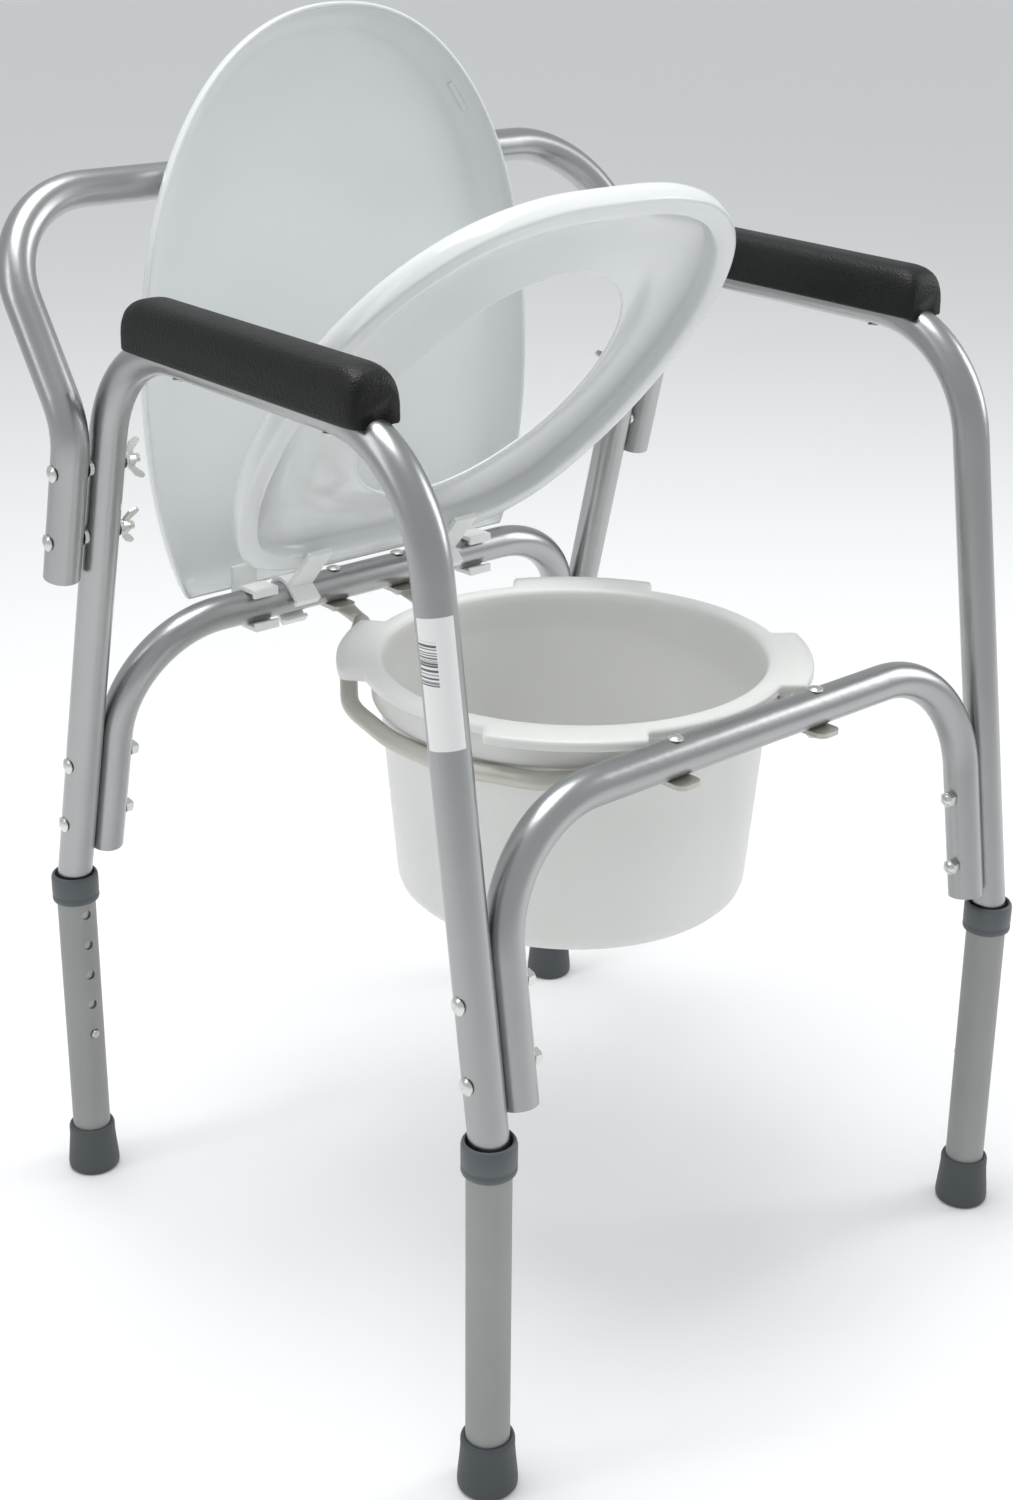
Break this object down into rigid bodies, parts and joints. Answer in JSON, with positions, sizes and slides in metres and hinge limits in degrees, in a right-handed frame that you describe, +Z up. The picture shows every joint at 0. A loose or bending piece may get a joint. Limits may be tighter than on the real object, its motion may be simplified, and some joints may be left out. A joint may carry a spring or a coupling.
{
  "type": "commode chair",
  "caption": "Bedside commode chair: bent aluminium tube frame with padded arms and backrest, height-adjustable legs, hinged seat ring and lid over a lift-out pail.",
  "frame": {"origin": "on the floor, midway between the two side frames and midway between the front and rear feet", "axes": "+X towards the chair's left-hand side as its user sits facing the front, which is the viewer's right; -Y is the front, where the user's legs go; +Z is up"},
  "size_m": [0.575, 0.518, 0.8762],
  "materials": {
    "frame_aluminium": "satin anodised tube with fine lengthwise draw lines",
    "sleeve_aluminium": "matte anodised, a little paler than the frame",
    "fastener_zinc": "bright zinc plate",
    "spring_steel": "nickel-plated spring steel",
    "rail_steel": "satin warm grey coating",
    "armrest_vinyl": "black grained self-skinned foam",
    "collar_plastic": "moulded blue-grey",
    "tip_rubber": "matte grey rubber",
    "pail_plastic": "natural translucent polypropylene",
    "seat_plastic": "off-white moulded plastic, semi-gloss",
    "clip_plastic": "white moulded plastic",
    "label_film": "plain white sticker without text"
  },
  "bodies": {
    "frame": {"side_frame_left": "frame_aluminium", "side_frame_right": "frame_aluminium", "front_cross_tube": "frame_aluminium", "rear_cross_tube": "frame_aluminium", "backrest_tube": "frame_aluminium", "frame_bolts": "fastener_zinc", "frame_acorn_nuts": "fastener_zinc", "backrest_bolts": "fastener_zinc", "backrest_washers": "fastener_zinc", "pail_rail_left": "rail_steel", "pail_rail_right": "rail_steel", "rail_screws": "fastener_zinc", "rail_nuts": "fastener_zinc", "armrest_left": "armrest_vinyl", "armrest_right": "armrest_vinyl", "armrest_screws": "fastener_zinc", "label": "label_film", "leaf_spring_front_left": "spring_steel", "leaf_spring_front_right": "spring_steel", "leaf_spring_rear_left": "spring_steel", "leaf_spring_rear_right": "spring_steel"},
    "leg_front_left": {"leg_sleeve_front_left": "sleeve_aluminium", "leg_collar_front_left": "collar_plastic", "rubber_tip_front_left": "tip_rubber"},
    "leg_front_right": {"leg_sleeve_front_right": "sleeve_aluminium", "leg_collar_front_right": "collar_plastic", "rubber_tip_front_right": "tip_rubber"},
    "leg_rear_left": {"leg_sleeve_rear_left": "sleeve_aluminium", "leg_collar_rear_left": "collar_plastic", "rubber_tip_rear_left": "tip_rubber"},
    "leg_rear_right": {"leg_sleeve_rear_right": "sleeve_aluminium", "leg_collar_rear_right": "collar_plastic", "rubber_tip_rear_right": "tip_rubber"},
    "button_front_left": {"snap_button_front_left": "spring_steel"},
    "button_front_right": {"snap_button_front_right": "spring_steel"},
    "button_rear_left": {"snap_button_rear_left": "spring_steel"},
    "button_rear_right": {"snap_button_rear_right": "spring_steel"},
    "wing_nut_left_upper": {"wing_nut_left_upper": "fastener_zinc"},
    "wing_nut_left_lower": {"wing_nut_left_lower": "fastener_zinc"},
    "wing_nut_right_upper": {"wing_nut_right_upper": "fastener_zinc"},
    "wing_nut_right_lower": {"wing_nut_right_lower": "fastener_zinc"},
    "pail": {"pail": "pail_plastic"},
    "seat": {"seat": "seat_plastic", "seat_clip_left": "clip_plastic", "seat_clip_right": "clip_plastic"},
    "lid": {"lid": "seat_plastic", "lid_clip_left": "clip_plastic", "lid_clip_right": "clip_plastic", "lid_bumpers": "clip_plastic"}
  },
  "joints": [
    {"name": "extend_leg_front_left", "type": "slide", "parent": "frame", "child": "leg_front_left", "axis": [0, 0, -1], "range_m": [0, 0.1016], "deforming": ["snap_button_front_left", "leaf_spring_front_left"]},
    {"name": "extend_leg_front_right", "type": "slide", "parent": "frame", "child": "leg_front_right", "axis": [0, 0, -1], "range_m": [0, 0.1016], "deforming": ["snap_button_front_right", "leaf_spring_front_right"]},
    {"name": "extend_leg_rear_left", "type": "slide", "parent": "frame", "child": "leg_rear_left", "axis": [0, 0, -1], "range_m": [0, 0.1016], "deforming": ["snap_button_rear_left", "leaf_spring_rear_left"]},
    {"name": "extend_leg_rear_right", "type": "slide", "parent": "frame", "child": "leg_rear_right", "axis": [0, 0, -1], "range_m": [0, 0.1016], "deforming": ["snap_button_rear_right", "leaf_spring_rear_right"]},
    {"name": "press_button_front_left", "type": "slide", "parent": "frame", "child": "button_front_left", "axis": [0, -1, 0], "range_m": [0, 0.0041], "stiffness_N_per_m": 800, "springref_m": -0.003, "deforming": ["leaf_spring_front_left"]},
    {"name": "press_button_front_right", "type": "slide", "parent": "frame", "child": "button_front_right", "axis": [0, -1, 0], "range_m": [0, 0.0041], "stiffness_N_per_m": 800, "springref_m": -0.003, "deforming": ["leaf_spring_front_right"]},
    {"name": "press_button_rear_left", "type": "slide", "parent": "frame", "child": "button_rear_left", "axis": [0, 1, 0], "range_m": [0, 0.0041], "stiffness_N_per_m": 800, "springref_m": -0.003, "deforming": ["leaf_spring_rear_left"]},
    {"name": "press_button_rear_right", "type": "slide", "parent": "frame", "child": "button_rear_right", "axis": [0, 1, 0], "range_m": [0, 0.0041], "stiffness_N_per_m": 800, "springref_m": -0.003, "deforming": ["leaf_spring_rear_right"]},
    {"name": "turn_wing_nut_left_upper", "type": "hinge", "parent": "frame", "child": "wing_nut_left_upper", "pos_m": [-0.2255, 0.15798, 0.59], "axis": [-1, 0, 0], "continuous": true},
    {"name": "turn_wing_nut_left_lower", "type": "hinge", "parent": "frame", "child": "wing_nut_left_lower", "pos_m": [-0.2255, 0.17014, 0.5395], "axis": [-1, 0, 0], "continuous": true},
    {"name": "turn_wing_nut_right_upper", "type": "hinge", "parent": "frame", "child": "wing_nut_right_upper", "pos_m": [0.2255, 0.15798, 0.59], "axis": [1, 0, 0], "continuous": true},
    {"name": "turn_wing_nut_right_lower", "type": "hinge", "parent": "frame", "child": "wing_nut_right_lower", "pos_m": [0.2255, 0.17014, 0.5395], "axis": [1, 0, 0], "continuous": true},
    {"name": "lift_pail", "type": "slide", "parent": "frame", "child": "pail", "axis": [0, 0, 1], "range_m": [0, 0.09]},
    {"name": "seat_hinge", "type": "hinge", "parent": "frame", "child": "seat", "pos_m": [0, 0.19163, 0.4503], "axis": [-1, 0, 0], "range_deg": [-47.2, 38.3]},
    {"name": "lid_hinge", "type": "hinge", "parent": "frame", "child": "lid", "pos_m": [0, 0.19163, 0.4503], "axis": [-1, 0, 0], "range_deg": [-38.3, 0]}
  ]
}
